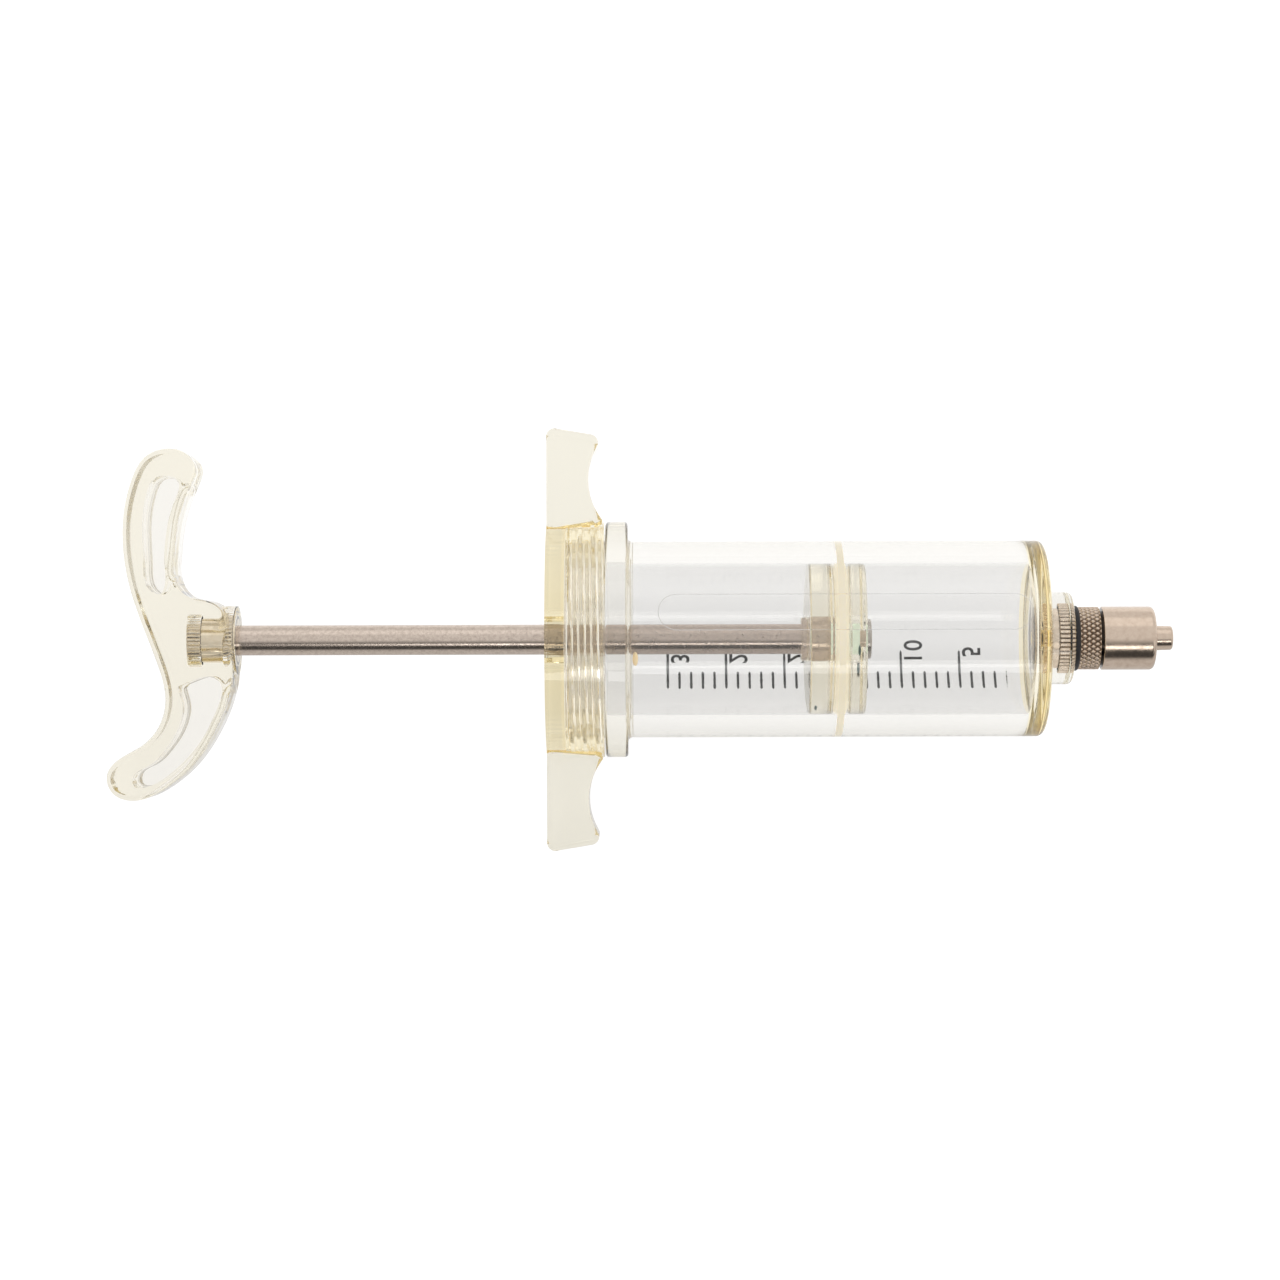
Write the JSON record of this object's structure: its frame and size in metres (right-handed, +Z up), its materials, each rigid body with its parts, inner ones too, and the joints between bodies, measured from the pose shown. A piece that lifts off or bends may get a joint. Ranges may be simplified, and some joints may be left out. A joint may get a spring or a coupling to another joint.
{
  "type": "luer lock syringe",
  "caption": "Reusable clear plastic syringe with a screw-on grip cap with finger wings, an S-shaped plunger handle and a metal luer lock tip.",
  "frame": {"origin": "centre of the luer tip's mouth, on the syringe's axis", "axes": "+X along the syringe's axis and out of the luer tip; +Z up with the syringe lying on its round cap and one wing; -Y towards the wing that touches the floor"},
  "size_m": [0.1761, 0.068, 0.039],
  "materials": {
    "clear_barrel": "clear gloss",
    "clear_cap": "clear gloss",
    "clear_handle": "clear gloss",
    "clear_piston": "clear gloss",
    "seal_ring": "translucent",
    "piston_core": "translucent",
    "black_washer": "satin",
    "nickel_fitting": "nickel plate, bright turned",
    "plated_insert": "turned, tarnished",
    "champagne_insert": "turned, plated",
    "steel_rod": "brushed",
    "steel_nut": "bright turned"
  },
  "bodies": {
    "barrel": {"barrel": "clear_barrel", "nose_insert": "plated_insert", "nose_gasket": "black_washer", "luer_lock_fitting": "nickel_fitting", "grip_cap": "clear_cap"},
    "seal": {"seal_ring": "seal_ring"},
    "plunger": {"piston_rear": "clear_piston", "piston_front": "clear_piston", "piston_bush": "piston_core", "piston_nut": "steel_nut", "plunger_rod": "steel_rod", "handle_insert": "champagne_insert", "handle": "clear_handle"}
  },
  "joints": [
    {"name": "plunger_slide", "type": "slide", "parent": "barrel", "child": "seal", "axis": [1, 0, 0], "range_m": [-0.0385, 0.0264]},
    {"name": "plunger_spin", "type": "hinge", "parent": "seal", "child": "plunger", "pos_m": [-0.0554, 0, 0], "axis": [1, 0, 0], "continuous": true}
  ]
}
